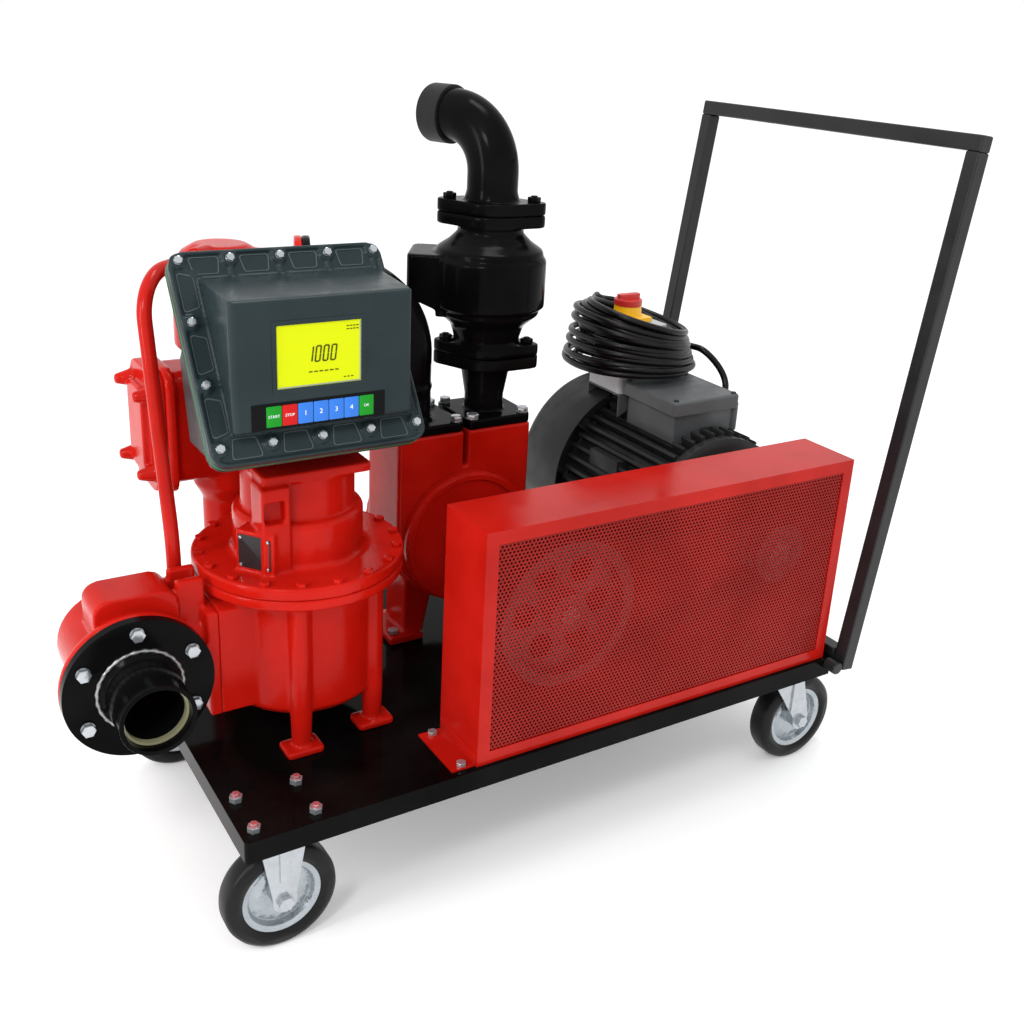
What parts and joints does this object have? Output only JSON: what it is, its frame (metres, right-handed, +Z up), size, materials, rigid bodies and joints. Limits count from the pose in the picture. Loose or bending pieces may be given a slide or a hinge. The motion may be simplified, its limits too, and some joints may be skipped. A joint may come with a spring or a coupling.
{
  "type": "mobile fuel transfer pump",
  "caption": "Trolley-mounted fuel transfer pump: belt-driven rotary pump with electric motor, inlet check valve, air separator, flow meter with register, and flanged outlet.",
  "frame": {"origin": "floor point under the middle of the machine, its supply cable left out", "axes": "+X from the outlet end to the push handle, +Y from the belt guard side to the far side, +Z up"},
  "size_m": [1.3502, 0.651, 1.113],
  "materials": {
    "red_paint": "glossy red cast casings",
    "black_paint": "glossy black",
    "mesh": "red perforated sheet",
    "zinc": "zinc plated",
    "shaft": "ground steel",
    "iron": "bare cast iron",
    "tyre": "satin black",
    "disc": "pressed steel disc",
    "belt": "matt",
    "motor": "dark grey satin",
    "tbox": "grey satin",
    "grey_sheet": "light grey",
    "yellow": "yellow",
    "knob": "red",
    "cable": "black",
    "sleeve": "grey",
    "register": "slate grey semi-gloss",
    "screen": "lit yellow-green",
    "keypad": "membrane",
    "nylon": "fan"
  },
  "bodies": {
    "trolley": {"deck": "black_paint", "handle_legs": "black_paint", "handle_bars": "black_paint", "deck_fasteners": "zinc", "fixed_caster_forks": "zinc", "fixed_caster_axles": "zinc", "swivel_caster_plates": "zinc", "guard_box": "red_paint", "guard_mesh": "mesh", "pump_casing": "red_paint", "pump_cover": "red_paint", "v_belts": "belt", "motor_housing": "motor", "motor_fan_cowl": "motor", "motor_terminal_box": "tbox", "motor_rails": "black_paint", "switch_bracket": "grey_sheet", "switch_box": "grey_sheet", "switch_collar": "yellow", "cable_gland": "cable", "supply_cable": "cable", "cable_coil": "cable", "cable_plug": "cable", "inlet_neck": "black_paint", "check_valve_body": "black_paint", "inlet_elbow": "black_paint", "inlet_sleeve": "sleeve", "discharge_pipe": "black_paint", "pipe_fasteners": "zinc", "separator_body": "red_paint", "strainer_cover": "red_paint", "vent_tube": "red_paint", "meter_body": "red_paint", "meter_cover": "red_paint", "outlet_casting": "red_paint", "outlet_flange": "black_paint", "register_case": "register", "register_cover": "register", "register_screen": "screen", "register_keypad": "keypad"},
    "near_fixed_wheel": {"near_fixed_tyre": "tyre", "near_fixed_disc": "disc"},
    "far_fixed_wheel": {"far_fixed_tyre": "tyre", "far_fixed_disc": "disc"},
    "near_swivel": {"near_swivel_fork": "zinc", "near_swivel_axle": "zinc"},
    "far_swivel": {"far_swivel_fork": "zinc", "far_swivel_axle": "zinc"},
    "near_swivel_wheel": {"near_swivel_tyre": "tyre", "near_swivel_disc": "disc"},
    "far_swivel_wheel": {"far_swivel_tyre": "tyre", "far_swivel_disc": "disc"},
    "motor_spindle": {"motor_rotor": "shaft", "motor_pulley": "iron", "motor_fan": "nylon"},
    "pump_spindle": {"pump_rotor": "shaft", "pump_pulley": "iron"},
    "switch_knob": {"switch_knob": "knob"},
    "check_flap": {"check_valve_flap": "iron"},
    "meter_spindle": {"meter_rotor": "iron"}
  },
  "joints": [
    {"name": "near_fixed_wheel_spin", "type": "hinge", "parent": "trolley", "child": "near_fixed_wheel", "pos_m": [-0.44015, -0.238, 0.08], "axis": [0, 1, 0], "continuous": true},
    {"name": "far_fixed_wheel_spin", "type": "hinge", "parent": "trolley", "child": "far_fixed_wheel", "pos_m": [-0.44015, 0.238, 0.08], "axis": [0, 1, 0], "continuous": true},
    {"name": "near_caster_swivel", "type": "hinge", "parent": "trolley", "child": "near_swivel", "pos_m": [0.46585, -0.238, 0.18], "axis": [0, 0, 1], "continuous": true},
    {"name": "near_swivel_wheel_spin", "type": "hinge", "parent": "near_swivel", "child": "near_swivel_wheel", "pos_m": [0.51585, -0.238, 0.08], "axis": [0, 1, 0], "continuous": true},
    {"name": "far_caster_swivel", "type": "hinge", "parent": "trolley", "child": "far_swivel", "pos_m": [0.46585, 0.238, 0.18], "axis": [0, 0, 1], "continuous": true},
    {"name": "far_swivel_wheel_spin", "type": "hinge", "parent": "far_swivel", "child": "far_swivel_wheel", "pos_m": [0.51585, 0.238, 0.08], "axis": [0, 1, 0], "continuous": true},
    {"name": "motor_spin", "type": "hinge", "parent": "trolley", "child": "motor_spindle", "pos_m": [0.40585, 0.005, 0.428], "axis": [0, 1, 0], "continuous": true},
    {"name": "pump_spin", "type": "hinge", "parent": "trolley", "child": "pump_spindle", "pos_m": [-0.00215, -0.095, 0.413], "axis": [0, 1, 0], "continuous": true},
    {"name": "switch_turn", "type": "hinge", "parent": "trolley", "child": "switch_knob", "pos_m": [0.37785, 0.152, 0.72], "axis": [0, 0, 1], "range_deg": [0, 90]},
    {"name": "flap_swing", "type": "hinge", "parent": "trolley", "child": "check_flap", "pos_m": [0.01121, 0.13959, 0.7895], "axis": [-0.5446, -0.8387, 0], "range_deg": [0, 60]},
    {"name": "meter_spin", "type": "hinge", "parent": "trolley", "child": "meter_spindle", "pos_m": [-0.31915, -0.025, 0.338], "axis": [0, 0, 1], "continuous": true}
  ],
  "couplings": [
    {"joint": "pump_spin", "follows": "motor_spin", "ratio": 0.43478}
  ]
}
